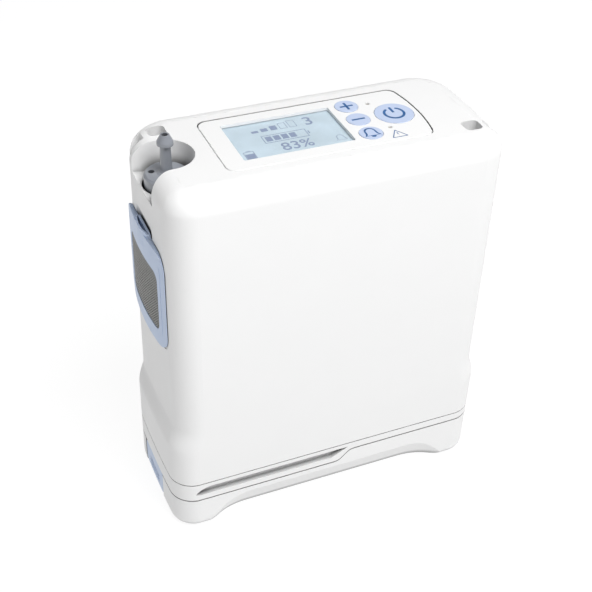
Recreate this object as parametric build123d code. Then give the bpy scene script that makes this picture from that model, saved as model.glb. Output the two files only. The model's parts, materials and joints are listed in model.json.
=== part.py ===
from build123d import *
import os

# Portable oxygen concentrator. Millimetres, +Z up, +X right along the large front face (at -Y),
# origin on the table under the middle of the case. Each function below makes one piece.

# ---- driving dimensions ----
HALF_LENGTH = 75.0  # lower part, ends
HALF_DEPTH = 34.0  # lower part, front and back
WAIST_LENGTH = 72.4  # half length above the flare
TOP_DEPTH = 33.0  # half depth at the top
END_BOW = 1.2  # how far each end face bulges
FRONT_R = 11.0  # upright corners at the front
BACK_R = 18.5  # upright corners at the back
FLARE_LOW, FLARE_HIGH = 46.0, 58.0
TOP_Z = 174.5
TOP_FILLET = 9.0
WALL = 2.2
NOZZLE_TIP_Z = 183.0

BAND_TOP = 27.2  # parting line, tall cover to lower housing
BAND_LOW = 17.5  # parting line to the battery, left of the step
BAND_STEP = 23.1  # the same line, right of the step
STEP_X0, STEP_X1 = 1.0, 11.5
PART_GAP = 0.45  # open groove between the tall cover and the bottom frame
BAY_GAP = 0.65  # open groove between the bottom frame and the battery
SKIRT = 3.0
DECK_LOW, DECK_HIGH = 23.2, 25.2

CUP_X, CUP_Y = -62.0, 0.5
CUP_R = 11.2
CUP_FLOOR = 161.5
WELL_R, WELL_FLOOR = 9.7, 158.0
NOZZLE_X, NOZZLE_Y = -62.0, 0.8
SPIGOT_R = 5.0

PANEL_Z = 173.2  # seat of the overlay
OVERLAY_TOP = 174.4
PANEL_X0, PANEL_X1 = -43.8, 42.6
PANEL_Y = 19.8
PANEL_BULGE = 2.6
LCD = (-35.5, 11.3, -13.8, 14.2)
BUTTONS = {
    "plus_button": (18.9, 12.2, 4.9),
    "minus_button": (19.0, 0.7, 4.9),
    "bell_button": (19.1, -11.0, 4.9),
    "power_button": (35.0, 0.4, 8.2),
}
BUTTON_GAP = 0.15
LIGHTS = [(28.2, 11.5), (28.4, -9.2)]
INNER_TOP = 172.1  # ceiling of the cover

FILTER_Y = 24.2
FILTER_Z0, FILTER_Z1 = 97.0, 144.0
MESH_Y, MESH_Z0, MESH_Z1 = 17.5, 104.0, 133.0
FILTER_BULGE_R = 125.0
FILTER_FACE_X = -74.5
FILTER_SEAT_X = -71.75
FILTER_HINGE_X, FILTER_HINGE_Z = -73.5, 97.3
TAB_BULGE_R = 22.0

SCOOP_X, SCOOP_Z, SCOOP_REACH = 61.6, 14.4, 7.6
CELL_R, CELL_LENGTH = 9.1, 65.0
CELL_Y, CELL_Z = 9.4, 11.6
LATCH_Y = 13.0

CRANK_X, CRANK_Z = -8.0, 56.0
ECCENTRIC = 1.5
COLUMN_X, COLUMN_Y, COLUMN_R = 49.5, 15.2, 14.6
FAN_X, FAN_Z = -61.0, 118.0
DC_Z, DC_COLLAR_R, DC_BORE_R = 34.2, 5.2, 3.2
SCREWS = [(x, y) for x in (-63.0, 63.0) for y in (-23.0, 21.5)]
SCREW_R, SCREW_HEAD_R, BOSS_R = 1.2, 2.4, 3.4

os.makedirs("parts", exist_ok=True)


# ---- small helpers ----
def save(name, shape):
    shape.label = name
    export_step(shape, f"parts/{name}.step")


def block(x0, x1, y0, y1, z0, z1):
    size = Box(x1 - x0, y1 - y0, z1 - z0)
    return Pos((x0 + x1) / 2, (y0 + y1) / 2, (z0 + z1) / 2) * size


def soft_block(x0, x1, y0, y1, z0, z1, radius, axis=Axis.Z):
    shape = block(x0, x1, y0, y1, z0, z1)
    return fillet(shape.edges().filter_by(axis), radius)


def post(x, y, z0, z1, radius):
    return Pos(x, y, (z0 + z1) / 2) * Cylinder(radius, z1 - z0)


def rod_x(x0, x1, y, z, radius):
    return Pos((x0 + x1) / 2, y, z) * Rot(0, 90, 0) * Cylinder(radius, x1 - x0)


def rod_y(x, y0, y1, z, radius):
    return Pos(x, (y0 + y1) / 2, z) * Rot(90, 0, 0) * Cylinder(radius, y1 - y0)


def group(solids):
    return Compound(children=list(solids))


# ---- case outline ----
def plan(z, half_x, half_y, inset=0.0):
    """Rounded plan outline with gently bulged ends and tighter corners at the front."""
    hx, hy = half_x - inset, half_y - inset
    corner_x = hx - END_BOW
    outline = [
        Line((-corner_x, -hy), (corner_x, -hy)),
        ThreePointArc((corner_x, -hy), (hx, 0), (corner_x, hy)),
        Line((corner_x, hy), (-corner_x, hy)),
        ThreePointArc((-corner_x, hy), (-hx, 0), (-corner_x, -hy)),
    ]
    face = make_face(Curve() + outline)
    face = fillet([v for v in face.vertices() if v.Y < -hy + 1], FRONT_R - inset)
    face = fillet([v for v in face.vertices() if v.Y > hy - 0.01 and abs(v.X) > hx - 2], BACK_R - inset)
    return Pos(0, 0, z) * face


def slab(z0, z1, inset=0.0):
    """Straight stretch of the wide lower outline."""
    return extrude(plan(z0, HALF_LENGTH, HALF_DEPTH, inset), z1 - z0)


def case_solid(z0, z1, inset, top_radius):
    """Lower straight part, flared shoulder and drafted upper part with a rounded top."""
    lower = slab(z0, FLARE_LOW, inset)
    steps = 6
    sections = []
    for i in range(steps + 1):
        t = i / steps
        ease = t * t * (3 - 2 * t)
        half_x = HALF_LENGTH + (WAIST_LENGTH - HALF_LENGTH) * ease
        half_y = HALF_DEPTH - 0.1 * ease
        sections.append(plan(FLARE_LOW + (FLARE_HIGH - FLARE_LOW) * t, half_x, half_y, inset))
    flare = loft(sections)
    upper = loft(
        [
            plan(FLARE_HIGH, WAIST_LENGTH, HALF_DEPTH - 0.1, inset),
            plan(z1, WAIST_LENGTH, TOP_DEPTH, inset),
        ],
        ruled=True,
    )
    upper = fillet(upper.edges().group_by(Axis.Z)[-1], top_radius)
    return lower + flare + upper


def band_line(offset):
    """Stepped lower parting line as a closed region under it, seen from the front."""
    z_low, z_high = BAND_LOW + offset, BAND_STEP + offset
    mid = (STEP_X0 + STEP_X1) / 2
    edges = [
        Line((-90, z_low), (STEP_X0, z_low)),
        Bezier((STEP_X0, z_low), (mid, z_low), (mid, z_high), (STEP_X1, z_high)),
        Line((STEP_X1, z_high), (90, z_high)),
        Line((90, z_high), (90, -5)),
        Line((90, -5), (-90, -5)),
        Line((-90, -5), (-90, z_low)),
    ]
    face = Plane.XZ * make_face(Curve() + edges)
    return extrude(face, 60, both=True)


# ---- upper housing ----
def panel_outline(gap, z):
    """Control panel: straight left edge, bulged right edge, rounded corners."""
    x0, x1, y = PANEL_X0 - gap, PANEL_X1 + gap, PANEL_Y + gap
    outline = [
        Line((x0, -y), (x1, -y)),
        ThreePointArc((x1, -y), (x1 + PANEL_BULGE, 0), (x1, y)),
        Line((x1, y), (x0, y)),
        Line((x0, y), (x0, -y)),
    ]
    face = make_face(Curve() + outline)
    return Pos(0, 0, z) * fillet(face.vertices(), 4.2)


def cup_cut():
    """Nozzle cup: round at the inner side, flaring open through the left end."""
    mouth = make_face(
        Curve()
        + [
            Line((CUP_X, CUP_Y - CUP_R), (CUP_X, CUP_Y + CUP_R)),
            Bezier((CUP_X, CUP_Y + CUP_R), (-70, CUP_Y + CUP_R), (-71.5, CUP_Y + 13.5), (-80, CUP_Y + 17)),
            Line((-80, CUP_Y + 17), (-80, CUP_Y - 17)),
            Bezier((-80, CUP_Y - 17), (-71.5, CUP_Y - 13.5), (-70, CUP_Y - CUP_R), (CUP_X, CUP_Y - CUP_R)),
        ]
    )
    cut = post(CUP_X, CUP_Y, CUP_FLOOR, 180, CUP_R)
    return cut + extrude(Pos(0, 0, CUP_FLOOR) * mouth, 20)


def strap_cuts(side):
    """Passage for a strap at one corner: hole on top, tunnel under a bar, open window at the end."""
    hole = soft_block(-63.9, -56.4, 15.6, 22.8, 164.0, 180, 2.0)
    tunnel = soft_block(-80, -60, 15.9, 22.5, 164.0, 169.6, 1.5, Axis.X)
    window = soft_block(-80, -66.0, 15.9, 22.5, 164.0, 180, 1.2)
    cuts = hole + tunnel + window
    if side > 0:
        cuts = Rot(0, 0, 180) * cuts
    return cuts


def strap_pocket(side):
    """Solid corner that the strap passage is cut through."""
    pocket = block(-74, -54.2, 13.6, 30, 162.0, TOP_Z)
    return pocket if side < 0 else Rot(0, 0, 180) * pocket


def upper_housing():
    outer = case_solid(BAND_TOP, TOP_Z, 0, TOP_FILLET)
    inner = case_solid(BAND_TOP - 1, INNER_TOP, WALL, TOP_FILLET - WALL)
    inner -= strap_pocket(-1)
    inner -= strap_pocket(1)
    inner -= post(CUP_X, CUP_Y, 155.8, TOP_Z, CUP_R + 2.2)
    inner -= block(-76, CUP_X, CUP_Y - 16, CUP_Y + 16, CUP_FLOOR - 2.2, TOP_Z)
    for x, y in SCREWS:
        inner -= post(x, y, BAND_TOP - 1, 38, BOSS_R)
        inner -= block(min(x, x * 1.2), max(x, x * 1.2), y - 1.2, y + 1.2, 31.6, 38)
    shell = outer - inner
    for x, y in SCREWS:
        shell += post(x, y, DECK_HIGH + 0.1, BAND_TOP + 1, BOSS_R)
    shell -= cup_cut()
    shell -= post(NOZZLE_X, NOZZLE_Y, WELL_FLOOR, CUP_FLOOR + 1, WELL_R)
    shell -= post(NOZZLE_X, NOZZLE_Y, 150, WELL_FLOOR + 1, SPIGOT_R + 2.0)
    shell -= strap_cuts(-1)
    shell -= strap_cuts(1)
    shell -= extrude(panel_outline(0.35, PANEL_Z), 5)
    shell -= block(LCD[0] - 1.3, LCD[1] + 1.3, LCD[2] - 1.3, LCD[3] + 1.3, 170, 175)
    for x, y, r in BUTTONS.values():
        shell -= post(x, y, 170, 176, r + BUTTON_GAP)
    for x, y in LIGHTS:
        shell -= post(x, y, 170, 176, 1.0)
    seat = block(-80, FILTER_SEAT_X, -FILTER_Y - 0.8, FILTER_Y + 0.8, FILTER_Z0 - 0.8, FILTER_Z1 + 0.8)
    shell -= fillet(seat.edges().filter_by(Axis.X), 8.5)
    scoop = Pos(-80.2, 0, FILTER_Z1 + 1.0) * Rot(90, 0, 0) * Cylinder(9.0, 22)
    shell -= fillet(scoop.edges(), 2.0)
    shell -= soft_block(-80, -66, -20.8, 20.8, 100.4, 141.6, 5.0, Axis.X)
    shell -= rod_x(60, 80, 0, DC_Z, DC_COLLAR_R + 0.2)
    for x, y in SCREWS:
        shell -= post(x, y, 20, 36, SCREW_R + 0.05)
    return shell


def lower_housing():
    ring = slab(BAND_LOW - 1, BAND_TOP - PART_GAP) - slab(BAND_LOW - 2, BAND_TOP + 2, SKIRT)
    lip = slab(DECK_LOW, BAND_TOP + 4, WALL + 0.2) - slab(DECK_LOW - 1, BAND_TOP + 5, WALL + 1.8)
    deck = slab(DECK_LOW, DECK_HIGH, 1.0)
    rails = block(-70, 0, -HALF_DEPTH + 1, HALF_DEPTH - 1, BAND_LOW + 0.3, BAND_LOW + 1.8)
    rails -= block(-90, 20, -29.6, 29.6, 10, 24)
    rails &= slab(BAND_LOW - 1, BAND_TOP, 1.0)
    shape = ring + lip + deck + rails
    shape -= band_line(0)
    for side in (-1, 1):
        shape -= exhaust_slot(side)
    for x, y in SCREWS:
        shape -= post(x, y, 20, 40, SCREW_R + 0.3)
        shape -= post(x, y, 20, DECK_LOW + 1.2, SCREW_HEAD_R + 0.2)
    shape -= block(-68.5, -60.5, -9, 9, 20, 26)
    shape -= block(60, 74.9, -6, 6, DECK_HIGH, 40)
    return shape


def exhaust_slot(side):
    """Long narrow recess in the skirt with a swept left tip and a slanted right end."""
    z0, z1 = 20.5, 24.7
    edges = [
        Line((-63.5, z0), (-0.2, z0)),
        Line((-0.2, z0), (7.9, z1)),
        Line((7.9, z1), (-57.4, z1)),
        Bezier((-57.4, z1), (-61, z1), (-64.5, z1 - 1.2), (-65.5, z0 + 0.3)),
        Line((-65.5, z0 + 0.3), (-63.5, z0)),
    ]
    face = Plane.XZ * make_face(Curve() + edges)
    cut = extrude(Pos(0, -HALF_DEPTH + SKIRT - 0.8, 0) * face, 6)
    return cut if side < 0 else Rot(0, 0, 180) * mirror(cut, about=Plane.YZ)


def housing_screws():
    screws = []
    for x, y in SCREWS:
        head = post(x, y, DECK_LOW + 0.1, DECK_LOW + 1.2, SCREW_HEAD_R)
        screws.append(head + post(x, y, DECK_LOW + 1.1, 35, SCREW_R))
    return group(screws)


# ---- control panel ----
def panel_overlay():
    plate = extrude(panel_outline(0, PANEL_Z), OVERLAY_TOP - PANEL_Z)
    plate -= soft_block(LCD[0], LCD[1], LCD[2], LCD[3], 170, 180, 0.8)
    for x, y, r in BUTTONS.values():
        plate -= post(x, y, 170, 180, r + BUTTON_GAP)
    for x, y in LIGHTS:
        plate -= post(x, y, 170, 180, 1.0)
    return chamfer(plate.faces().sort_by(Axis.Z)[-1].outer_wire().edges(), 0.25)


def display_window():
    return block(LCD[0] - 1.2, LCD[1] + 1.2, LCD[2] - 1.2, LCD[3] + 1.2, PANEL_Z - 0.4, PANEL_Z)


def lcd_module():
    body = block(LCD[0] - 4, LCD[1] + 1.9, LCD[2] - 4, LCD[3] + 4, 168.5, INNER_TOP)
    face = block(LCD[0] - 1.1, LCD[1] + 1.1, LCD[2] - 1.1, LCD[3] + 1.1, INNER_TOP - 0.1, PANEL_Z - 0.45)
    return body + face


def display_board():
    return block(-43, 44.5, -19, 19, 166.8, 168.4)


def keypad_mat():
    mat = block(13.6, 44.2, -18, 18, 169.3, 170.5)
    for x, y, r in BUTTONS.values():
        mat += post(x, y, 168.4, 169.3, r * 0.5)
    for x, y in LIGHTS:
        mat -= post(x, y, 160, 180, 1.1)
    return mat


def button(x, y, r):
    cap = post(x, y, 171.8, OVERLAY_TOP + 0.2, r)
    cap = fillet(cap.edges().group_by(Axis.Z)[-1], 0.18)
    return cap + post(x, y, 171.2, 171.9, r + 0.6)


def status_lights():
    return group(post(x, y, 168.4, OVERLAY_TOP - 0.5, 0.9) for x, y in LIGHTS)


def buzzer():
    return post(30, -6, 160.8, 166.8, 6.5) - post(30, -6, 160, 163, 1.2)


# ---- outlet nozzle ----
def nozzle_fitting():
    """Turned profile: threaded spigot, flange disc, stem, barb and through bore."""
    bore, stem, neck, barb, tip = 1.25, 2.4, 2.1, 3.25, 1.8
    points = [
        (bore, 150.0),
        (SPIGOT_R, 150.0),
        (SPIGOT_R, 158.65),
        (8.9, 158.65),
        (8.9, 165.7),
        (8.1, 166.5),
        (3.9, 166.5),
        (2.8, 167.2),
        (stem, 168.2),
        (neck, 176.8),
        (neck, 178.2),
        (barb, 178.9),
        (barb, 180.2),
        (tip, NOZZLE_TIP_Z),
        (bore, NOZZLE_TIP_Z),
    ]
    profile = make_face(Plane.XZ * Polyline(*points, close=True))
    body = revolve(profile, Axis.Z)
    for side in (-1, 1):
        body -= Pos(side * 5.3, side * -2.4, 164.6) * Cylinder(1.25, 4)
    return Pos(NOZZLE_X, NOZZLE_Y, 0) * body


def nozzle_seal():
    ring = Pos(NOZZLE_X, NOZZLE_Y, WELL_FLOOR + 0.32) * Torus(8.0, 0.3)
    return ring


def nozzle_socket():
    sleeve = post(NOZZLE_X, NOZZLE_Y, 150.2, WELL_FLOOR - 0.1, SPIGOT_R + 2.0)
    return sleeve - post(NOZZLE_X, NOZZLE_Y, 140, 170, SPIGOT_R + 0.1)


def output_filter():
    body = post(NOZZLE_X, NOZZLE_Y, 141, 149.6, 6.5)
    return body - post(NOZZLE_X, NOZZLE_Y, 148, 151, 1.2)


# ---- intake filter ----
def filter_curve(inset):
    """Upright cylinder whose near side is the bulged outer face of the filter."""
    centre = FILTER_FACE_X + FILTER_BULGE_R
    return post(centre, 0, 80, 160, FILTER_BULGE_R - inset)


def filter_frame():
    plate = soft_block(-80, FILTER_SEAT_X - 0.25, -FILTER_Y, FILTER_Y, FILTER_Z0, FILTER_Z1, 8.0, Axis.X)
    plate &= filter_curve(0)
    spigot = soft_block(-73, -68.5, -20.2, 20.2, 101.0, 140.6, 4.5, Axis.X)
    tab = soft_block(-76.0, -72.0, -8.4, 8.4, 138.0, 145.6, 2.5, Axis.X)
    tab &= post(-75 + TAB_BULGE_R, 0, 130, 150, TAB_BULGE_R)
    bead = rod_y(FILTER_HINGE_X, -7, 7, FILTER_HINGE_Z, 0.9)
    frame = plate + spigot + tab + bead
    frame -= soft_block(-80, -60, -MESH_Y, MESH_Y, MESH_Z0, MESH_Z1, 4.0, Axis.X)
    nail_gap = block(-76, -72.9, -8, 8, 139.6, 148.0)
    nail_gap &= post(-75 + TAB_BULGE_R, 0, 130, 150, TAB_BULGE_R - 0.8)
    return frame - nail_gap


def filter_mesh():
    y, z0, z1 = MESH_Y - 0.02, MESH_Z0 + 0.02, MESH_Z1 - 0.02
    sheet = soft_block(-80, -70, -y, y, z0, z1, 4.0, Axis.X)
    return (sheet & filter_curve(0.7)) - filter_curve(1.4)


# ---- cooling fan ----
def fan_frame():
    frame = soft_block(FAN_X - 5, FAN_X + 5, -20, 20, FAN_Z - 20, FAN_Z + 20, 3.0, Axis.X)
    frame -= rod_x(FAN_X - 6, FAN_X + 6, 0, FAN_Z, 18.8)
    hub = rod_x(FAN_X + 3.4, FAN_X + 5, 0, FAN_Z, 8.5)
    frame += hub
    for turn in (45, 135, 225, 315):
        arm = block(FAN_X + 3.4, FAN_X + 5, -1.2, 1.2, 7, 19.5)
        frame += Pos(0, 0, FAN_Z) * Rot(turn, 0, 0) * arm
    return frame + rod_x(FAN_X - 2, FAN_X + 4, 0, FAN_Z, 1.5)


def fan_rotor():
    rotor = rod_x(-4.2, 2.8, 0, 0, 8.0) - rod_x(-3.0, 4, 0, 0, 1.56)
    for i in range(7):
        blade = Rot(0, 0, 35) * block(-0.6, 0.6, -3.9, 3.9, 7.0, 17.6)
        rotor += Rot(i * 360 / 7, 0, 0) * blade
    return Pos(FAN_X, 0, FAN_Z) * rotor


# ---- compressor ----
def crankcase():
    case = soft_block(CRANK_X - 15, CRANK_X + 15, -16, 4, CRANK_Z - 15, CRANK_Z + 15, 2.0, Axis.Y)
    case -= block(CRANK_X - 12.5, CRANK_X + 12.5, -13.5, 1.5, CRANK_Z - 12.5, CRANK_Z + 12.5)
    case -= rod_x(CRANK_X - 20, CRANK_X + 20, -6.5, CRANK_Z, 6.4)
    case -= rod_y(CRANK_X, -20, 8, CRANK_Z, 6.0)
    for x in (-11, 11):
        for y in (-12, 0):
            case += post(CRANK_X + x, y, CRANK_Z - 17, CRANK_Z - 14.9, 3.5)
    return case


def crank_bearings():
    rings = []
    for y0 in (-16, 1.5):
        outer = rod_y(CRANK_X, y0, y0 + 2.5, CRANK_Z, 6.0)
        rings.append(outer - rod_y(CRANK_X, y0 - 1, y0 + 4, CRANK_Z, 2.55))
    return group(rings)


def crank_shaft():
    shaft = rod_y(CRANK_X, -15.5, 28, CRANK_Z, 2.5)
    shaft += rod_y(CRANK_X + ECCENTRIC, -9.4, -3.6, CRANK_Z, 4.2)
    weight = rod_y(CRANK_X, -2.6, 0.2, CRANK_Z, 9.0)
    weight -= block(CRANK_X + 1.5, CRANK_X + 20, -5, 5, CRANK_Z - 10, CRANK_Z + 10)
    return shaft + weight


def motor_rotor():
    return rod_y(CRANK_X, 7, 25, CRANK_Z, 9.0) - rod_y(CRANK_X, 0, 30, CRANK_Z, 2.53)


def motor_stator():
    can = rod_y(CRANK_X, 4.1, 29.4, CRANK_Z, 14.0) - rod_y(CRANK_X, 0, 26.6, CRANK_Z, 9.6)
    return can - rod_y(CRANK_X, 25, 28.4, CRANK_Z, 2.6)


def piston_yoke():
    """Two opposed piston heads joined by a yoke whose window clears the eccentric."""
    y0, y1 = -9.0, -4.0
    yoke = block(-9.8, 9.8, y0, y1, -8.2, 8.2) - block(-7.6, 7.6, y0 - 1, y1 + 1, -6.1, 6.1)
    for side in (-1, 1):
        yoke += rod_x(min(side * 9.6, side * 20), max(side * 9.6, side * 20), -6.5, 0, 2.4)
        yoke += rod_x(min(side * 19, side * 23), max(side * 19, side * 23), -6.5, 0, 8.9)
    return Pos(CRANK_X, 0, CRANK_Z) * yoke


def cylinder(side):
    near, far = CRANK_X + side * 15, CRANK_X + side * 29
    x0, x1 = min(near, far), max(near, far)
    sleeve = rod_x(x0, x1, -6.5, CRANK_Z, 11.0)
    return sleeve - rod_x(x0 - 1, x1 + 1, -6.5, CRANK_Z, 9.0)


def cylinder_head(side):
    near, far = CRANK_X + side * 29, CRANK_X + side * 35
    x0, x1 = min(near, far), max(near, far)
    head = soft_block(x0, x1, -18.5, 5.5, CRANK_Z - 12, CRANK_Z + 12, 3.0, Axis.X)
    for i in range(5):
        z = CRANK_Z - 9.6 + i * 4.8
        fin = (far - side * 2.5, far + side * 1)
        head -= block(min(fin), max(fin), -20, 7, z - 0.7, z + 0.7)
    return head


def vibration_mounts():
    mounts = []
    for x in (-11, 11):
        for y in (-12, 0):
            foot = post(CRANK_X + x, y, DECK_HIGH, CRANK_Z - 17, 3.4)
            mounts.append(foot - post(CRANK_X + x, y, 29, 35, 5) + post(CRANK_X + x, y, 29, 35, 2.2))
    return group(mounts)


# ---- sieve columns and gas path ----
def sieve_column(side):
    y = side * COLUMN_Y
    return post(COLUMN_X, y, 47, 144, COLUMN_R) - post(COLUMN_X, y, 46, 145, COLUMN_R - 1.2)


def sieve_bed(side):
    return post(COLUMN_X, side * COLUMN_Y, 50, 138, COLUMN_R - 1.25)


def column_cap(z0, z1):
    cap = soft_block(COLUMN_X - 14.2, COLUMN_X + 14.2, -29.4, 29.4, z0, z1, 13.0)
    return cap


def valve_block():
    shape = block(-12, 32, -14, 14, 92, 106)
    for x in (-4, 8, 20):
        shape -= rod_y(x, -15, 15, 99, 2.0)
    return shape


def solenoid_valves():
    valves = []
    for x in (-5, 6, 17, 28):
        valves.append(post(x, 0, 106, 124, 5.0) + block(x - 4, x + 4, -6.5, 6.5, 124, 127))
    return group(valves)


def product_tank():
    tank = post(-34, -12, 74, 138, 11.0)
    tank = fillet(tank.edges().group_by(Axis.Z)[-1], 4)
    return fillet(tank.edges().group_by(Axis.Z)[0], 4)


def tube(points, radius, bend):
    path = FilletPolyline(*points, radius=bend)
    section = Plane(origin=path @ 0, z_dir=path % 0) * Circle(radius)
    return sweep(section, path=path)


def product_tube():
    return tube([(-34, -12, 138), (-34, -12, 145), (-34, 0.8, 145), (-55.5, 0.8, 145)], 2.0, 4.0)


def feed_tube():
    return post(24, -6.5, CRANK_Z + 12, 92, 2.5)


def oxygen_sensor():
    return soft_block(-6, 18, -22, -8, 134, 150, 2.0)


def exhaust_muffler():
    return soft_block(-58, -26, -29.2, -19, DECK_HIGH, 38, 3.0)


# ---- electronics ----
def main_board():
    return block(-46, 30, 25.6, 27.2, 76, 156)


def board_components():
    parts = [
        block(-36, -22, 23.4, 25.6, 118, 132),
        block(-12, -2, 23.0, 25.6, 128, 138),
        block(6, 24, 20.6, 25.6, 134, 152),
        block(-40, -30, 19.6, 25.6, 82, 92),
    ]
    for x in (-20, -10, 0):
        parts.append(rod_y(x, 15.6, 25.6, 84, 4.0))
    return group(parts)


def dc_socket():
    """Round power inlet in the right end, a blind bore facing out."""
    shape = soft_block(62.5, 72.2, -5.5, 5.5, DC_Z - 5.5, DC_Z + 5.5, 1.0, Axis.X)
    shape += rod_x(72.0, 74.8, 0, DC_Z, DC_COLLAR_R)
    return shape - rod_x(65.0, 76, 0, DC_Z, DC_BORE_R)


def battery_socket():
    """Contact block in the deck with four sprung pins above the battery's pads."""
    base = block(-68.3, -60.7, -8.8, 8.8, DECK_LOW + 0.2, 31)
    for y in (-6, -2, 2, 6):
        base += post(-64.5, y, 22.85, 24, 0.8)
    return base


# ---- battery ----
def battery_outer():
    body = extrude(plan(0, HALF_LENGTH, HALF_DEPTH), 30)
    body = fillet(body.edges().group_by(Axis.Z)[0], 4.0)
    body &= band_line(-BAY_GAP)
    for side in (-1, 1):
        body -= scoop(side)
    return body


def scoop(side):
    """Shallow arch under one long side whose face leans inwards towards the table."""
    start = 2.0
    lift = start * SCOOP_Z / SCOOP_REACH
    top, foot = SCOOP_Z + lift, -10.0
    shoulder = SCOOP_X - SCOOP_Z
    reach = shoulder + top - foot
    arch = make_face(Polyline((-reach, foot), (-shoulder, top), (shoulder, top), (reach, foot), close=True))
    arch = fillet(arch.vertices().group_by(Axis.Y)[-1], 20.0)
    arch = Pos(0, -HALF_DEPTH - start, 0) * (Plane.XZ * arch)
    cutter = extrude(arch, 30, dir=(0, SCOOP_REACH, -SCOOP_Z))
    return cutter if side < 0 else Rot(0, 0, 180) * cutter


def battery_case():
    body = battery_outer()
    body -= soft_block(-69.5, 71.0, -24.4, 24.4, 1.8, 30, 6.0)
    body -= block(STEP_X0 - 1, 60.0, -31.8, 31.8, BAND_LOW - BAY_GAP, 30)
    body -= block(-80, -70.6, -LATCH_Y - 0.3, LATCH_Y + 0.3, -1, 30)
    return body


def battery_cover():
    """Lid with a T-shaped edge that rides on the rails of the lower housing."""
    z0 = BAND_LOW - BAY_GAP
    neck = block(-69.3, STEP_X1 + 1.3, -29.2, 29.2, z0, 20.0)
    flange = block(-69.3, STEP_X1 + 1.3, -30.6, 30.6, 19.7, 22.6)
    right = block(STEP_X1 + 1.3, 59.8, -31.6, 31.6, z0 + 1.2, 22.6)
    right += soft_block(40, 70.8, -24.2, 24.2, z0 + 1.2, 22.6, 6.2)
    lid = neck + flange + right
    lid &= slab(0, 30, SKIRT + 0.3) + block(0, 80, -40, 40, 0, 30)
    lid -= soft_block(-67.6, 69.0, -22.6, 22.6, 10, 20.9, 4.0)
    for y in (-6, -2, 2, 6):
        lid -= block(-68, -61, y - 1.2, y + 1.2, 22.2, 24)
    return lid


def battery_pads():
    return group(block(-67.9, -61.1, y - 1.1, y + 1.1, 22.2, 22.55) for y in (-6, -2, 2, 6))


def battery_cell(column, row):
    x0 = -66.2 if column == 0 else 0.6
    return rod_x(x0, x0 + CELL_LENGTH, CELL_Y * row, CELL_Z, CELL_R)


def cell_straps():
    straps = [
        block(-66.6, -66.25, -12, 12, 8, 15),
        block(-1.1, 0.5, -12, 12, 8, 15),
        block(65.7, 66.1, -12, 12, 8, 15),
    ]
    return group(straps)


def battery_board():
    return block(-50, 30, 19.0, 21.6, 12, 18)


def battery_latch():
    """Sliding catch in the left end of the battery, with a ribbed thumb pad."""
    body = extrude(plan(3.6, HALF_LENGTH, HALF_DEPTH, 0.3), 12.8)
    body &= soft_block(-80, -70.9, -LATCH_Y, LATCH_Y, 3.6, 16.4, 3.0, Axis.X)
    for z in (6.2, 7.8, 9.4):
        body -= soft_block(-76, -74.2, -7, 7, z, z + 0.7, 0.3, Axis.X)
    return body


# ---- write every piece ----
save("upper_housing", upper_housing())
save("lower_housing", lower_housing())
save("housing_screws", housing_screws())
save("panel_overlay", panel_overlay())
save("display_window", display_window())
save("lcd_module", lcd_module())
save("display_board", display_board())
save("keypad_mat", keypad_mat())
for button_name, place in BUTTONS.items():
    save(button_name, button(*place))
save("status_lights", status_lights())
save("buzzer", buzzer())
save("nozzle_fitting", nozzle_fitting())
save("nozzle_seal", nozzle_seal())
save("nozzle_socket", nozzle_socket())
save("output_filter", output_filter())
save("filter_frame", filter_frame())
save("filter_mesh", filter_mesh())
save("fan_frame", fan_frame())
save("fan_rotor", fan_rotor())
save("crankcase", crankcase())
save("crank_bearings", crank_bearings())
save("crank_shaft", crank_shaft())
save("motor_rotor", motor_rotor())
save("motor_stator", motor_stator())
save("piston_yoke", piston_yoke())
save("vibration_mounts", vibration_mounts())
for number, end in ((1, -1), (2, 1)):
    save(f"cylinder_{number}", cylinder(end))
    save(f"cylinder_head_{number}", cylinder_head(end))
    save(f"sieve_column_{number}", sieve_column(end))
    save(f"sieve_bed_{number}", sieve_bed(end))
save("column_base", column_cap(40, 47))
save("column_manifold", column_cap(144, 152))
save("valve_block", valve_block())
save("solenoid_valves", solenoid_valves())
save("product_tank", product_tank())
save("product_tube", product_tube())
save("feed_tube", feed_tube())
save("oxygen_sensor", oxygen_sensor())
save("exhaust_muffler", exhaust_muffler())
save("main_board", main_board())
save("board_components", board_components())
save("dc_socket", dc_socket())
save("battery_socket", battery_socket())
save("battery_case", battery_case())
save("battery_cover", battery_cover())
save("battery_pads", battery_pads())
save("battery_cell_1", battery_cell(0, -1))
save("battery_cell_2", battery_cell(1, -1))
save("battery_cell_3", battery_cell(0, 1))
save("battery_cell_4", battery_cell(1, 1))
save("cell_straps", cell_straps())
save("battery_board", battery_board())
save("battery_latch", battery_latch())
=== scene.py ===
import json
from math import cos, pi, radians, sin, sqrt

import bmesh
import bpy
from mathutils import Matrix, Vector


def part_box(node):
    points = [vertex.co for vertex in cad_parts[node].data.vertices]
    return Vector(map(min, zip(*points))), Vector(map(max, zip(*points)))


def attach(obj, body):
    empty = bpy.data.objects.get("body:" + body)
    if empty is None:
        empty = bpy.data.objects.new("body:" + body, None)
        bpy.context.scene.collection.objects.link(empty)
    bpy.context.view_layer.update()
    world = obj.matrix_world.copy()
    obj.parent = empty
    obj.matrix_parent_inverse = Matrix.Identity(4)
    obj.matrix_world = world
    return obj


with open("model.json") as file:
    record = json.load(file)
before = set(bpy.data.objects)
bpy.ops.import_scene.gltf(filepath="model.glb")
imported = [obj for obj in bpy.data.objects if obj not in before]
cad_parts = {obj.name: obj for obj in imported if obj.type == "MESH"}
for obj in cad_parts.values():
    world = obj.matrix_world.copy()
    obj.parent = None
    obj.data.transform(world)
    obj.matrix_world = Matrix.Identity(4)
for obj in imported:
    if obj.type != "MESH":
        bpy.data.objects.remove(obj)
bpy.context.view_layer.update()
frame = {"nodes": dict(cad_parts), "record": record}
nodes = frame["nodes"]
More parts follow.
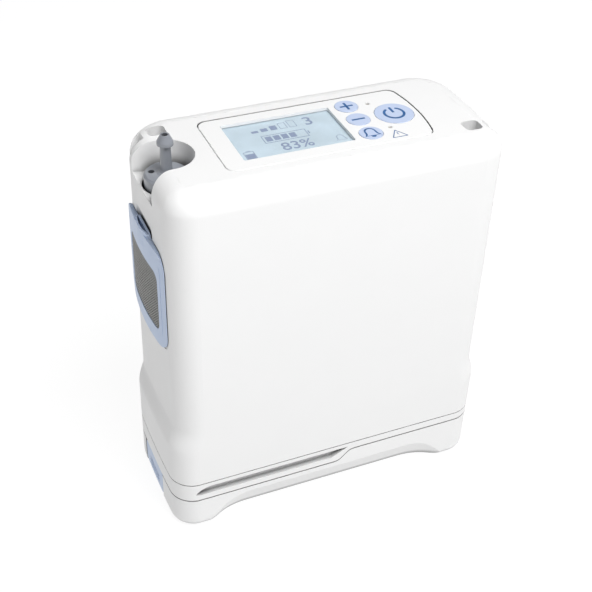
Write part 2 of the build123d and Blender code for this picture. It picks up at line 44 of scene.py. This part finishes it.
MM = 0.001


# ---- camera, floor and light ----
AZIMUTH, ELEVATION, ROLL = radians(-23.99), radians(37.79), radians(2.12)
CAMERA_PLACE = (-0.1639, -0.3550, 0.3928)
LENS = 67.74
SENSOR = 36.0
SURROUND_STRENGTH = 0.27
CASE_MIDDLE, NOZZLE_FOOT = (0, 0, 0.09), (-0.062, 0, 0.17)  # what the two lights aim at
KEY_PLACE, KEY_SIZE, KEY_POWER = (0.2, -0.56, 1.13), 0.7, 15.5
GLOSS_PLACE, GLOSS_SIZE, GLOSS_POWER = (-0.62, -0.25, 0.72), 0.12, 0.42
FLOOR_HALF = 6.0
FLOOR_DROP = 0.0002  # keeps the floor just clear of the underside
WALL_RADIUS, WALL_HEIGHT, WALL_SIDES = 0.95 * FLOOR_HALF, 8.0, 48
FLOOR_GLOW, WALL_GLOW = 0.92, 0.95  # keeps the floor and the wall white in the picture


def make_camera():
    """Camera above the left front corner, looking down at the top and the front."""
    back = Vector((sin(AZIMUTH) * cos(ELEVATION), -cos(AZIMUTH) * cos(ELEVATION), sin(ELEVATION)))
    right = Vector((0, 0, 1)).cross(back).normalized()
    up = back.cross(right)
    turn = Matrix((right, up, back)).transposed() @ Matrix.Rotation(ROLL, 3, "Z")
    data = bpy.data.cameras.new("camera")
    data.lens, data.sensor_width = LENS, SENSOR
    data.clip_start, data.clip_end = 0.01, 50
    camera = bpy.data.objects.new("camera", data)
    camera.matrix_world = Matrix.Translation(CAMERA_PLACE) @ turn.to_4x4()
    bpy.context.scene.collection.objects.link(camera)
    bpy.context.scene.camera = camera


def area_light(name, place, aim, size, power):
    data = bpy.data.lights.new(name, "AREA")
    data.shape = "DISK"
    data.size, data.energy = size, power
    light = bpy.data.objects.new(name, data)
    light.location = place
    light.rotation_mode = "QUATERNION"
    light.rotation_quaternion = (Vector(aim) - Vector(place)).to_track_quat("-Z", "Y")
    bpy.context.scene.collection.objects.link(light)


def make_stage():
    """White floor and surroundings, a broad key light above the front and a small one for gloss."""
    world = bpy.data.worlds.new("studio")
    bpy.context.scene.world = world
    world.use_nodes = True
    sky = world.node_tree.nodes["Background"]
    sky.inputs["Color"].default_value = (1, 1, 1, 1)
    sky.inputs["Strength"].default_value = SURROUND_STRENGTH
    area_light("key", KEY_PLACE, CASE_MIDDLE, KEY_SIZE, KEY_POWER)
    area_light("gloss", GLOSS_PLACE, NOZZLE_FOOT, GLOSS_SIZE, GLOSS_POWER)
    floor_plane()
    backdrop()


def floor_plane():
    mesh = bpy.data.meshes.new("floor")
    half = FLOOR_HALF
    corners = [(x * half, y * half, 0) for x, y in ((-1, -1), (1, -1), (1, 1), (-1, 1))]
    mesh.from_pydata(corners, [], [(0, 1, 2, 3)])
    floor = bpy.data.objects.new("floor", mesh)
    floor.location.z = -FLOOR_DROP
    bpy.context.scene.collection.objects.link(floor)
    mesh.materials.append(glowing_white("floor_white", FLOOR_GLOW))


def glowing_white(name, strength):
    """Matt grey with a glow of its own, so the stage stays near white in any light."""
    shade = new_material(name, (0.12, 0.12, 0.12), 0.9, specular=0.0)
    shader = shade.node_tree.nodes["Principled BSDF"]
    shader.inputs["Emission Color"].default_value = (1, 1, 1, 1)
    shader.inputs["Emission Strength"].default_value = strength
    return shade


def backdrop():
    """Pale round wall far behind everything; it is seen but lights nothing."""
    count = WALL_SIDES
    turns = [2 * pi * i / count for i in range(count)]
    low = [(WALL_RADIUS * cos(t), WALL_RADIUS * sin(t), 0) for t in turns]
    high = [(x, y, WALL_HEIGHT) for x, y, _ in low]
    sides = [(i, (i + 1) % count, (i + 1) % count + count, i + count) for i in range(count)]
    mesh = bpy.data.meshes.new("backdrop")
    mesh.from_pydata(low + high, [], sides)
    wall = bpy.data.objects.new("backdrop", mesh)
    bpy.context.scene.collection.objects.link(wall)
    mesh.materials.append(glowing_white("backdrop_white", WALL_GLOW))
    wall.visible_diffuse = wall.visible_glossy = wall.visible_shadow = False
    wall.visible_transmission = False


# ---- materials ----
CASE_WHITE = (0.80, 0.80, 0.80)
TRIM_BLUE = (0.49, 0.59, 0.78)
BUTTON_BLUE = (0.50, 0.58, 0.76)
ICON_BLUE = (0.03, 0.12, 0.31)
LCD_BLUE = (0.47, 0.57, 0.64)
LCD_INK = (0.18, 0.235, 0.39)
NOZZLE_GREY = (0.24, 0.255, 0.285)
PAINTED_SHADE_REACH = 5 * MM  # painted shade: how near other plastic has to be for a spot to count as deep inside and be painted darker
PAINTED_SHADE_FULL, PAINTED_SHADE_NONE = 0.15, 0.85  # openness at which the painted shade is full, and at which it ends
PAINTED_SHADE_COLOUR = 0.12  # brightness left at full painted shade
NOISE_LOW, NOISE_HIGH = 0.3, 0.7  # where most of the noise texture's values lie
LCD_GLOW, LCD_DOT = 0.16, 1.2 * MM


def new_material(name, colour, roughness, metallic=0.0, specular=0.5, coat=0.0):
    shade = bpy.data.materials.new(name)
    shade.use_nodes = True
    shader = shade.node_tree.nodes["Principled BSDF"]
    shader.inputs["Base Color"].default_value = (*colour, 1)
    shader.inputs["Roughness"].default_value = roughness
    shader.inputs["Metallic"].default_value = metallic
    shader.inputs["Specular IOR Level"].default_value = specular
    shader.inputs["Coat Weight"].default_value = coat
    shader.inputs["Coat Roughness"].default_value = 0.1
    return shade


def add_node(tree, kind, **values):
    node = tree.nodes.new(kind)
    for name, value in values.items():
        if name in node.inputs:
            node.inputs[name].default_value = value
        else:
            setattr(node, name, value)
    return node


def noise(tree, size, detail=2.0, stretch=(1, 1, 1)):
    """Noise fixed in the object, with features about `size` metres across."""
    place = add_node(tree, "ShaderNodeTexCoord")
    scale = add_node(tree, "ShaderNodeMapping")
    scale.inputs["Scale"].default_value = stretch
    texture = add_node(tree, "ShaderNodeTexNoise", Scale=1 / size, Detail=detail)
    tree.links.new(place.outputs["Object"], scale.inputs["Vector"])
    tree.links.new(scale.outputs["Vector"], texture.inputs["Vector"])
    return texture.outputs["Fac"]


def vary(tree, fac, socket, low, high):
    """Drives a shader number between low and high by a texture."""
    ramp = add_node(tree, "ShaderNodeMapRange")
    ramp.inputs["From Min"].default_value = NOISE_LOW
    ramp.inputs["From Max"].default_value = NOISE_HIGH
    ramp.inputs["To Min"].default_value = low
    ramp.inputs["To Max"].default_value = high
    tree.links.new(fac, ramp.inputs["Value"])
    tree.links.new(ramp.outputs["Result"], socket)


def tint(tree, fac, socket, first, second):
    """Mixes two close colours by a texture."""
    mix = add_node(tree, "ShaderNodeMix", data_type="RGBA")
    mix.inputs[6].default_value = (*first, 1)
    mix.inputs[7].default_value = (*second, 1)
    tree.links.new(fac, mix.inputs[0])
    tree.links.new(mix.outputs[2], socket)
    return mix.outputs[2]


def bump(tree, fac, socket, height, strength=1.0):
    node = add_node(tree, "ShaderNodeBump", Strength=strength, Distance=height)
    tree.links.new(fac, node.inputs["Height"])
    tree.links.new(node.outputs["Normal"], socket)


def moulded(name, colour, rough=(0.42, 0.5), grain=0.35, relief=0.012, shift=0.02, painted_shade=0.0, **extra):
    """Moulded plastic: fine spark-eroded grain, uneven gloss and a faint change of colour.

    `grain` and `relief` are the grain's size and height in millimetres, and `shift` is the change
    of colour. `painted_shade`, from 0 to 1, is how dark the painted shade gets inside narrow seams,
    slots and pockets.
    """
    shade = new_material(name, colour, rough[0], **extra)
    tree = shade.node_tree
    shader = tree.nodes["Principled BSDF"]
    darker = tuple(c * (1 - shift) for c in colour)
    mottle = tint(tree, noise(tree, 18 * MM), shader.inputs["Base Color"], colour, darker)
    # painted shade, darker inside narrow seams, slots and pockets
    if painted_shade:
        darken_hollows(tree, shader, mottle, colour, painted_shade)
    vary(tree, noise(tree, 7 * MM, 3), shader.inputs["Roughness"], *rough)
    bump(tree, noise(tree, grain * MM, 3), shader.inputs["Normal"], relief * MM)
    return shade


def darken_hollows(tree, shader, mottle, colour, painted_shade):
    """Painted shade: darkens the colour where other plastic stands close by on most sides."""
    hollow = add_node(tree, "ShaderNodeAmbientOcclusion", Distance=PAINTED_SHADE_REACH)
    tree.links.new(mottle, hollow.inputs["Color"])
    depth = add_node(tree, "ShaderNodeMapRange")
    depth.inputs["From Min"].default_value = PAINTED_SHADE_FULL
    depth.inputs["From Max"].default_value = PAINTED_SHADE_NONE
    depth.inputs["To Min"].default_value = painted_shade
    depth.inputs["To Max"].default_value = 0.0
    dark = add_node(tree, "ShaderNodeMix", data_type="RGBA")
    dark.inputs[7].default_value = (*(c * PAINTED_SHADE_COLOUR for c in colour), 1)
    tree.links.new(hollow.outputs["AO"], depth.inputs["Value"])
    tree.links.new(depth.outputs["Result"], dark.inputs[0])
    tree.links.new(mottle, dark.inputs[6])
    tree.links.new(dark.outputs[2], shader.inputs["Base Color"])


def machined(name, colour, rough=(0.25, 0.4), stretch=(1, 12, 12)):
    """Turned or brushed metal with fine lines."""
    shade = new_material(name, colour, rough[0], metallic=1.0)
    tree = shade.node_tree
    shader = tree.nodes["Principled BSDF"]
    lines = noise(tree, 1.6 * MM, 4, stretch)
    tint(tree, lines, shader.inputs["Base Color"], colour, tuple(c * 0.88 for c in colour))
    vary(tree, lines, shader.inputs["Roughness"], *rough)
    bump(tree, lines, shader.inputs["Normal"], 0.01 * MM)
    return shade


def screen_glass(name):
    """Thin clear window: mostly see-through, with a polished gloss."""
    shade = new_material(name, (0.75, 0.83, 0.88), 0.06, specular=0.5)
    tree = shade.node_tree
    shader = tree.nodes["Principled BSDF"]
    vary(tree, noise(tree, 5 * MM), shader.inputs["Roughness"], 0.05, 0.1)
    vary(tree, noise(tree, 9 * MM), shader.inputs["Alpha"], 0.08, 0.1)
    return shade


def lcd_face(name):
    """Backlit display: pale blue with soft clouding and a fine dot grid."""
    shade = new_material(name, LCD_BLUE, 0.35)
    tree = shade.node_tree
    shader = tree.nodes["Principled BSDF"]
    shader.inputs["Emission Color"].default_value = (*LCD_BLUE, 1)
    shader.inputs["Emission Strength"].default_value = LCD_GLOW
    darker = tuple(c * 0.72 for c in LCD_BLUE)
    lighter = tuple(c * 1.14 for c in LCD_BLUE)
    tint(tree, noise(tree, 11 * MM, 3), shader.inputs["Base Color"], lighter, darker)
    place = add_node(tree, "ShaderNodeTexCoord")
    grid = add_node(tree, "ShaderNodeTexBrick", Scale=1 / LCD_DOT)
    grid.offset = 0.0
    grid.inputs["Mortar Size"].default_value = 0.03
    grid.inputs["Brick Width"].default_value = 0.5
    grid.inputs["Row Height"].default_value = 0.5
    tree.links.new(place.outputs["Object"], grid.inputs["Vector"])
    bump(tree, grid.outputs["Fac"], shader.inputs["Normal"], 0.01 * MM, 0.4)
    return shade


def circuit_board(name):
    """Green solder mask with the copper showing through in places."""
    mask, copper = (0.02, 0.16, 0.07), (0.05, 0.26, 0.12)
    shade = new_material(name, mask, 0.35)
    tree = shade.node_tree
    shader = tree.nodes["Principled BSDF"]
    tint(tree, noise(tree, 3 * MM, 5), shader.inputs["Base Color"], mask, copper)
    vary(tree, noise(tree, 2 * MM), shader.inputs["Roughness"], 0.3, 0.5)
    bump(tree, noise(tree, 0.8 * MM, 4), shader.inputs["Normal"], 0.03 * MM)
    return shade


def make_materials():
    return {
        # the case and the battery take full painted shade in their seams, slots and pockets
        "case_white": moulded("case_white", CASE_WHITE, painted_shade=1.0),
        "battery_white": moulded("battery_white", CASE_WHITE, painted_shade=1.0),
        "panel_white": moulded("panel_white", (0.82, 0.82, 0.82), (0.3, 0.36), 0.25, 0.004),
        "trim_blue": moulded("trim_blue", TRIM_BLUE, (0.38, 0.46), 0.3, 0.01, 0.05),
        "button_blue": moulded("button_blue", BUTTON_BLUE, (0.35, 0.42), 0.25, 0.005, 0.04),
        "icon_blue": moulded("icon_blue", ICON_BLUE, (0.4, 0.5), 0.2, 0.002, 0.1),
        # the nozzle takes painted shade in its holes and round the foot of its stem
        "nozzle_grey": moulded(
            "nozzle_grey", NOZZLE_GREY, (0.28, 0.36), 0.5, 0.004, 0.06, painted_shade=0.8, coat=0.6
        ),
        "black_plastic": moulded("black_plastic", (0.015, 0.015, 0.017), (0.45, 0.6)),
        "grey_plastic": moulded("grey_plastic", (0.18, 0.185, 0.19), (0.45, 0.55)),
        "silicone": moulded("silicone", (0.30, 0.31, 0.33), (0.6, 0.7)),
        "seal_black": moulded("seal_black", (0.012, 0.012, 0.012), (0.55, 0.7)),
        "light_amber": moulded("light_amber", (0.42, 0.41, 0.38), (0.2, 0.3), 0.4, 0.003),
        "mesh_grey": moulded("mesh_grey", (0.30, 0.30, 0.29), (0.6, 0.75), 0.3, 0.05, 0.2),
        "mesh_wire": moulded("mesh_wire", (0.42, 0.42, 0.41), (0.4, 0.55), 0.3, 0.01, 0.15),
        "window_clear": screen_glass("window_clear"),
        "lcd_glass": lcd_face("lcd_glass"),
        "lcd_ink": moulded("lcd_ink", LCD_INK, (0.5, 0.6), 0.3, 0.002, 0.1),
        "board_green": circuit_board("board_green"),
        "aluminium": machined("aluminium", (0.80, 0.81, 0.82)),
        "steel": machined("steel", (0.60, 0.60, 0.61), (0.2, 0.35)),
        "brass": machined("brass", (0.75, 0.56, 0.27)),
        "gold": machined("gold", (0.85, 0.63, 0.25), (0.2, 0.3)),
        "nickel": machined("nickel", (0.66, 0.64, 0.58)),
        "copper_motor": machined("copper_motor", (0.16, 0.15, 0.15), (0.3, 0.45)),
        "zeolite": moulded("zeolite", (0.60, 0.52, 0.40), (0.8, 0.95), 1.2, 0.4, 0.2),
        "tube_clear": moulded("tube_clear", (0.62, 0.65, 0.66), (0.2, 0.3)),
        "cell_wrap": moulded("cell_wrap", (0.03, 0.13, 0.36), (0.2, 0.3), 0.5, 0.005, 0.1),
    }


def dress_cad_nodes():
    """Every node carried over from the frame takes the finish its record slot names."""
    for part in frame["record"]["subparts"]:
        mesh = nodes[part["node"]].data
        mesh.materials.clear()
        mesh.materials.append(materials[part["material_slot"]])


# ---- small piece makers ----
def add_piece(name, mesh, body, slot, material=None):
    piece = bpy.data.objects.new(name, mesh)
    bpy.context.scene.collection.objects.link(piece)
    mesh.materials.clear()
    mesh.materials.append(materials[material or slot])
    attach(piece, body)


def baked(name, curve):
    """Mesh made from a curve or text, with the helper object removed."""
    holder = bpy.data.objects.new(name + "_curve", curve)
    bpy.context.scene.collection.objects.link(holder)
    bpy.context.view_layer.update()
    graph = bpy.context.evaluated_depsgraph_get()
    mesh = bpy.data.meshes.new_from_object(holder.evaluated_get(graph))
    bpy.data.objects.remove(holder)
    return mesh


def curve_mesh(name, paths, width, height, place):
    """Printed line: each path is (points, closed), in millimetres about `place`."""
    curve = bpy.data.curves.new(name, "CURVE")
    curve.dimensions = "3D"
    curve.bevel_depth = width / 2 * MM
    curve.bevel_resolution = 3
    curve.use_fill_caps = True
    for points, closed in paths:
        spline = curve.splines.new("POLY")
        spline.points.add(len(points) - 1)
        for point, (x, y) in zip(spline.points, points):
            point.co = (x * MM, y * MM, 0, 1)
        spline.use_cyclic_u = closed
    mesh = baked(name, curve)
    flatten = Matrix.Diagonal((1, 1, height / (width / 2), 1))
    mesh.transform(Matrix.Translation(Vector(place)) @ flatten)
    for face in mesh.polygons:
        face.use_smooth = True
    return mesh


def arc(radius, start, end, count=24, centre=(0, 0)):
    """Points on an arc in millimetres, angles in degrees from +X."""
    angles = [radians(start + (end - start) * i / count) for i in range(count + 1)]
    return [(centre[0] + radius * cos(a), centre[1] + radius * sin(a)) for a in angles]


def filled(name, outline, height, place):
    """Flat plate whose outline runs anticlockwise, in millimetres about `place`."""
    count = len(outline)
    low = [(x * MM, y * MM, 0) for x, y in outline]
    high = [(x, y, height * MM) for x, y, _ in low]
    ends = [tuple(reversed(range(count))), tuple(range(count, 2 * count))]
    sides = [(i, (i + 1) % count, (i + 1) % count + count, i + count) for i in range(count)]
    mesh = bpy.data.meshes.new(name)
    mesh.from_pydata(low + high, [], ends + sides)
    mesh.transform(Matrix.Translation(Vector(place)))
    return mesh


def bell_outline(scale):
    """Bell with a domed top, flared rim and level base."""
    dome = arc(0.62, 180, 0, 12, (0, 0.35))
    right = [(0.66, -0.15), (0.74, -0.42), (0.95, -0.66)]
    left = [(-x, y) for x, y in reversed(right)]
    return [(x * scale, y * scale) for x, y in dome + right + left]


# ---- control panel ----
PRINT = 0.03  # height of printed marks above what they are printed on, in millimetres
INK = 0.01  # thickness of the display's marks, in millimetres
INK_LIFT = 0.02  # how far they lie above the display's face


ALERT_SPOT = (29.0, -14.9)  # beside the lower status light, in millimetres
SIGN_HALF, SIGN_WIDTH = 2.9, 1.05  # half length and width of the plus and minus strokes
LEVELS, LEVEL = 5, 3  # bars of the flow level, and how many are filled
FULL_CELLS = 4  # filled cells in the battery gauge


def node_top(node):
    """Middle of a node's highest face."""
    low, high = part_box(node)
    return Vector(((low.x + high.x) / 2, (low.y + high.y) / 2, high.z))


def button_marks():
    """Printed symbols on the four membrane keys."""
    minus = [([(-SIGN_HALF, 0), (SIGN_HALF, 0)], False)]
    plus = minus + [([(0, -SIGN_HALF), (0, SIGN_HALF)], False)]
    power = [(arc(4.1, 118, 422, 48), False), ([(0, 0.6), (0, 4.9)], False)]
    bell = [(bell_outline(3.4), True)]
    marks = {
        "plus_button": (plus, SIGN_WIDTH),
        "minus_button": (minus, SIGN_WIDTH),
        "power_button": (power, 1.15),
        "bell_button": (bell, 0.75),
    }
    for node, (paths, width) in marks.items():
        mesh = curve_mesh(node + "_mark", paths, width, PRINT, node_top(node))
        add_piece(node + "_mark", mesh, node, "button_blue", "icon_blue")
    half_round = arc(1.1, 180, 360, 14, (0, -2.45))
    clapper = filled("bell_clapper", half_round, PRINT, node_top("bell_button"))
    add_piece("bell_clapper", clapper, "bell_button", "button_blue", "icon_blue")


def alert_mark():
    """Outlined triangle with a bar and a dot, printed beside the lower status light."""
    place = Vector((ALERT_SPOT[0] * MM, ALERT_SPOT[1] * MM, panel_top))
    sides = [((-3.2, -2.5), (3.2, -2.5)), ((3.2, -2.5), (0, 2.8)), ((0, 2.8), (-3.2, -2.5))]
    paths = [([a, b], False) for a, b in sides]
    paths += [([(0, 1.0), (0, -0.6)], False), ([(0, -1.35), (0, -1.45)], False)]
    mesh = curve_mesh("alert_mark", paths, 0.42, PRINT, place)
    add_piece("alert_mark", mesh, "housing", "panel_white", "icon_blue")


def on_display(name, mesh):
    add_piece(name, mesh, "housing", "lcd_glass", "lcd_ink")


def display_spot(x=0, y=0):
    """Point on the display's face, under its window; x and y in millimetres."""
    return Vector((x * MM, y * MM, lcd_top + INK_LIFT * MM))


def numeral_mesh(name, text, size, x, y):
    """Numerals on the display, in the plain built-in face."""
    font = bpy.data.curves.new(name, "FONT")
    font.body = text
    font.size = size * MM
    font.align_x = "CENTER"
    font.align_y = "CENTER"
    font.extrude = INK / 2 * MM
    font.offset = 0.1 * MM
    mesh = baked(name, font)
    mesh.transform(Matrix.Translation(display_spot(x, y)))
    return mesh


def rectangle(x0, x1, y0, y1):
    return [(x0, y0), (x1, y0), (x1, y1), (x0, y1)]


def flow_level():
    """Rising bars, the first ones filled, and the number they stand for."""
    left, foot, step, wide = -24.5, 6.9, 4.1, 2.9
    for i in range(LEVELS):
        name = f"level_bar_{i + 1}"
        x = left + i * step
        outline = rectangle(x, x + wide, foot, foot + 1.6 + i * 0.9)
        if i < LEVEL:
            mesh = filled(name, outline, INK, display_spot())
        else:
            mesh = curve_mesh(name, [(outline, True)], 0.35, INK, display_spot())
        on_display(name, mesh)
    on_display("level_number", numeral_mesh("level_number", str(LEVEL), 8.6, 0.4, 9.0))


def charge_gauge():
    """Lying battery outline with its full cells, and the charge as a percentage."""
    x0, x1, y0, y1 = -22.0, -3.5, -1.9, 3.7
    nub = [(x1 + 0.9, y0 + 1.7), (x1 + 0.9, y1 - 1.7)]
    frame_lines = [(rectangle(x0, x1, y0, y1), True), (nub, False)]
    on_display("gauge_frame", curve_mesh("gauge_frame", frame_lines, 0.5, INK, display_spot()))
    for i in range(FULL_CELLS):
        name = f"gauge_cell_{i + 1}"
        x = x0 + 1 + i * 3.4
        on_display(name, filled(name, rectangle(x, x + 2.7, y0 + 1, y1 - 1), INK, display_spot()))
    on_display("charge_number", numeral_mesh("charge_number", "83%", 8.0, -10.6, -6.9))


def corner_symbols():
    """Small upright battery, part full, at the lower left and a bell at the lower right."""
    x0, x1, y0, y1 = -33.0, -29.0, -11.0, -5.8
    cap = [(x0 + 1, y1 + 0.5), (x1 - 1, y1 + 0.5)]
    small = [(rectangle(x0, x1, y0, y1), True), (cap, False)]
    on_display("small_battery", curve_mesh("small_battery", small, 0.4, INK, display_spot()))
    level = rectangle(x0 + 0.2, x1 - 0.2, y0 + 0.2, y0 + 3.6)
    on_display("small_battery_level", filled("small_battery_level", level, INK, display_spot()))
    bell = [(bell_outline(2.3), True)]
    on_display("small_bell", curve_mesh("small_bell", bell, 0.3, INK, display_spot(7.6, -7.6)))


# ---- intake filter ----
FILTER_BULGE_R = 125.0
WIRE_PITCH, WIRE_R, WIRE_SIDES = 0.65, 0.15, 5
WEAVE_LIFT, WEAVE_WAVE = 0.3, 0.17  # the wires' mean height above the filter, and their swing
WEAVE_EDGE = 0.4  # bare strip round the weave


def wire(work, points):
    """Round wire along the points, which are in millimetres."""
    rings = []
    for i, point in enumerate(points):
        after = points[min(i + 1, len(points) - 1)]
        before = points[max(i - 1, 0)]
        along = (after - before).normalized()
        side = along.cross(Vector((1, 0, 0))).normalized()
        out = side.cross(along)
        ring = []
        for k in range(WIRE_SIDES):
            angle = 2 * pi * k / WIRE_SIDES
            offset = side * cos(angle) * WIRE_R + out * sin(angle) * WIRE_R
            ring.append(work.verts.new((point + offset) * MM))
        rings.append(ring)
    for a, b in zip(rings[:-1], rings[1:]):
        for k in range(WIRE_SIDES):
            after = (k + 1) % WIRE_SIDES
            face = work.faces.new((a[k], a[after], b[after], b[k]))
            face.smooth = True
    work.faces.new(rings[0])
    work.faces.new(list(reversed(rings[-1])))


def woven_screen():
    """Plain-weave wire screen that follows the bulge of the filter frame."""
    low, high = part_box("filter_mesh")
    face_x = low.x / MM
    y_wires = int((high.y - low.y) / MM / WIRE_PITCH)
    z_wires = int((high.z - low.z) / MM / WIRE_PITCH)
    y0, z0 = low.y / MM + WEAVE_EDGE, low.z / MM + WEAVE_EDGE
    y1, z1 = high.y / MM - WEAVE_EDGE, high.z / MM - WEAVE_EDGE

    def crossing(y, z, step, wire_number):
        lift = WEAVE_LIFT + WEAVE_WAVE * cos(pi * step / 2 + pi * wire_number)
        bulge = FILTER_BULGE_R - sqrt(FILTER_BULGE_R**2 - y * y)
        return Vector((face_x - lift + bulge, y, z))

    work = bmesh.new()
    y_steps, z_steps = 2 * y_wires, 2 * z_wires
    for row in range(z_wires):
        z = z0 + (z1 - z0) * row / (z_wires - 1)
        spots = [y0 + (y1 - y0) * i / y_steps for i in range(y_steps + 1)]
        wire(work, [crossing(y, z, i, row) for i, y in enumerate(spots)])
    for column in range(y_wires):
        y = y0 + (y1 - y0) * (column + 0.5) / y_wires
        spots = [z0 + (z1 - z0) * i / z_steps for i in range(z_steps + 1)]
        wire(work, [crossing(y, z, i, column + 1) for i, z in enumerate(spots)])
    bmesh.ops.recalc_face_normals(work, faces=work.faces)
    mesh = bpy.data.meshes.new("filter_weave")
    work.to_mesh(mesh)
    work.free()
    add_piece("filter_weave", mesh, "intake_filter", "mesh_grey", "mesh_wire")


make_camera()
make_stage()
materials = make_materials()
dress_cad_nodes()
panel_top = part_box("panel_overlay")[1].z
lcd_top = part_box("lcd_module")[1].z
button_marks()
alert_mark()
flow_level()
charge_gauge()
corner_symbols()
woven_screen()

scene = bpy.context.scene
scene.view_settings.view_transform = "Standard"
